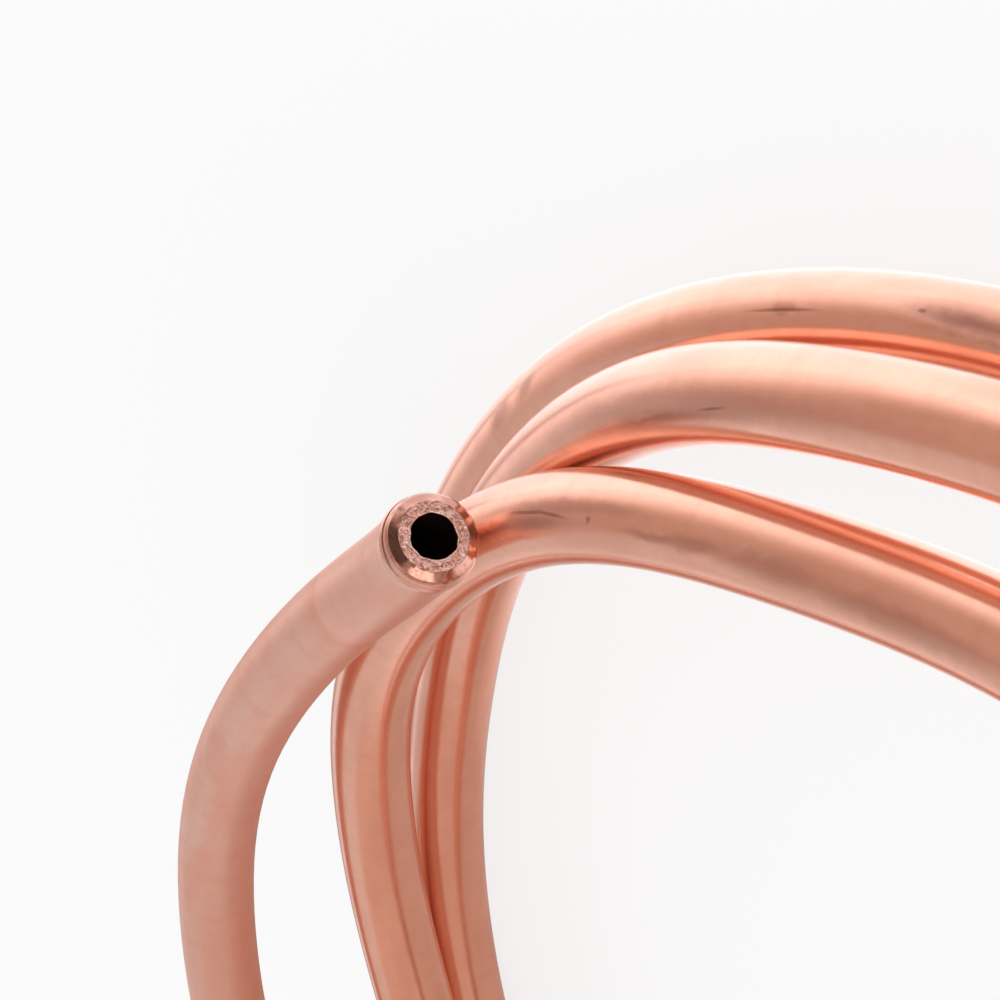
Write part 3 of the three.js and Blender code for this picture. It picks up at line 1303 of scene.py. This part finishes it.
class COPPERCOIL_OT_set_stage(bpy.types.Operator):
    """Make the camera, the white floor, the studio world and the softbox"""

    bl_idname = "coppercoil.set_stage"
    bl_label = "Set the stage"

    def execute(self, context):
        stage = context.scene.coppercoil_stage
        scene = context.scene
        camera = bpy.data.cameras.new("camera")
        camera.lens = stage.lens
        camera.clip_start = CAMERA_CLIP
        camera_object = bpy.data.objects.new("camera", camera)
        camera_object.matrix_world = aim(CAMERA_PLACE, CAMERA_TARGET, CAMERA_ROLL)
        scene.collection.objects.link(camera_object)
        scene.camera = camera_object

        half = stage.floor_size / 2
        corners = [(-half, -half, 0), (half, -half, 0), (half, half, 0), (-half, half, 0)]
        floor_mesh = bpy.data.meshes.new("floor")
        floor_mesh.from_pydata(corners, [], [(0, 1, 2, 3)])
        floor_mesh.materials.append(floor_material(stage))
        floor = bpy.data.objects.new("floor", floor_mesh)
        scene.collection.objects.link(floor)

        scene.world = studio_world(stage)
        softbox(
            "softbox",
            FREE_END + SOFTBOX_DISTANCE * np.array(unit_towards(*SOFTBOX_DIRECTION)),
            FREE_END,
            SOFTBOX_SIZE,
            SOFTBOX_SIZE,
            stage.softbox_strength,
        )
        scene.view_settings.view_transform = "Standard"
        return {"FINISHED"}


class COPPERCOIL_OT_wind_tube(bpy.types.Operator):
    """Wind the copper tube with its cut ends, and give it its finish"""

    bl_idname = "coppercoil.wind_tube"
    bl_label = "Wind the tube"

    def execute(self, context):
        tube = context.scene.coppercoil_tube
        copper = context.scene.coppercoil_copper
        mesh = tube_mesh(tube)
        mesh.materials.append(copper_material("satin_copper", copper, tube, cut=False))
        mesh.materials.append(copper_material("cut_copper", copper, tube, cut=True))
        piece = bpy.data.objects.new("copper_tube_skin", mesh)
        context.scene.collection.objects.link(piece)
        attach(piece, "root")
        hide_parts("copper_tube")
        return {"FINISHED"}


class COPPERCOIL_PT_panel(bpy.types.Panel):
    """Buttons that make the coil and its stage"""

    bl_idname = "COPPERCOIL_PT_panel"
    bl_label = "Copper coil"
    bl_space_type = "VIEW_3D"
    bl_region_type = "UI"
    bl_category = "Copper coil"

    def draw(self, context):
        layout = self.layout
        for settings in ("coppercoil_tube", "coppercoil_copper", "coppercoil_stage"):
            group = getattr(context.scene, settings)
            column = layout.column()
            for name in group.bl_rna.properties.keys():
                if name not in ("rna_type", "name"):
                    column.prop(group, name)
        layout.operator("coppercoil.set_stage")
        layout.operator("coppercoil.wind_tube")


CLASSES = (
    TubeSettings,
    CopperSettings,
    StageSettings,
    COPPERCOIL_OT_set_stage,
    COPPERCOIL_OT_wind_tube,
    COPPERCOIL_PT_panel,
)


def register():
    for cls in CLASSES:
        bpy.utils.register_class(cls)
    scene = bpy.types.Scene
    scene.coppercoil_tube = bpy.props.PointerProperty(type=TubeSettings)
    scene.coppercoil_copper = bpy.props.PointerProperty(type=CopperSettings)
    scene.coppercoil_stage = bpy.props.PointerProperty(type=StageSettings)


def unregister():
    scene = bpy.types.Scene
    del scene.coppercoil_stage
    del scene.coppercoil_copper
    del scene.coppercoil_tube
    for cls in reversed(CLASSES):
        bpy.utils.unregister_class(cls)


def main():
    """Makes the stage and the coil."""
    register()
    bpy.ops.coppercoil.set_stage()
    bpy.ops.coppercoil.wind_tube()


if __name__ == "__main__":
    main()
